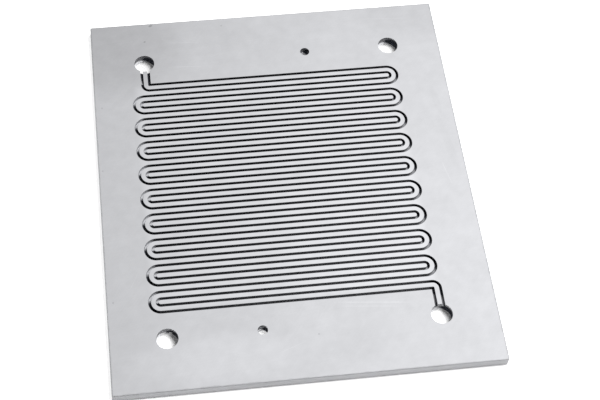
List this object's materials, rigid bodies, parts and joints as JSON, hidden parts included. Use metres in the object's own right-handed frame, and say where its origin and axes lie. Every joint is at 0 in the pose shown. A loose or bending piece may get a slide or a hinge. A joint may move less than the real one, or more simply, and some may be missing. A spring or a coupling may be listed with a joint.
{
  "type": "fuel cell bipolar plate",
  "caption": "Flat rectangular metal fuel cell plate with paired serpentine gas channels milled in both faces, through ports near its corners and small alignment pin holes.",
  "frame": {"origin": "middle of the plate's underside (its back face), which it rests on", "axes": "+X to the right along the channel rows, +Y up the plate, +Z through its thickness, out of the front face"},
  "size_m": [0.1026, 0.1194, 0.003],
  "materials": {
    "plate_metal": "fine satin, as milled and lapped"
  },
  "bodies": {
    "root": {"bipolar_plate": "plate_metal"}
  },
  "joints": []
}
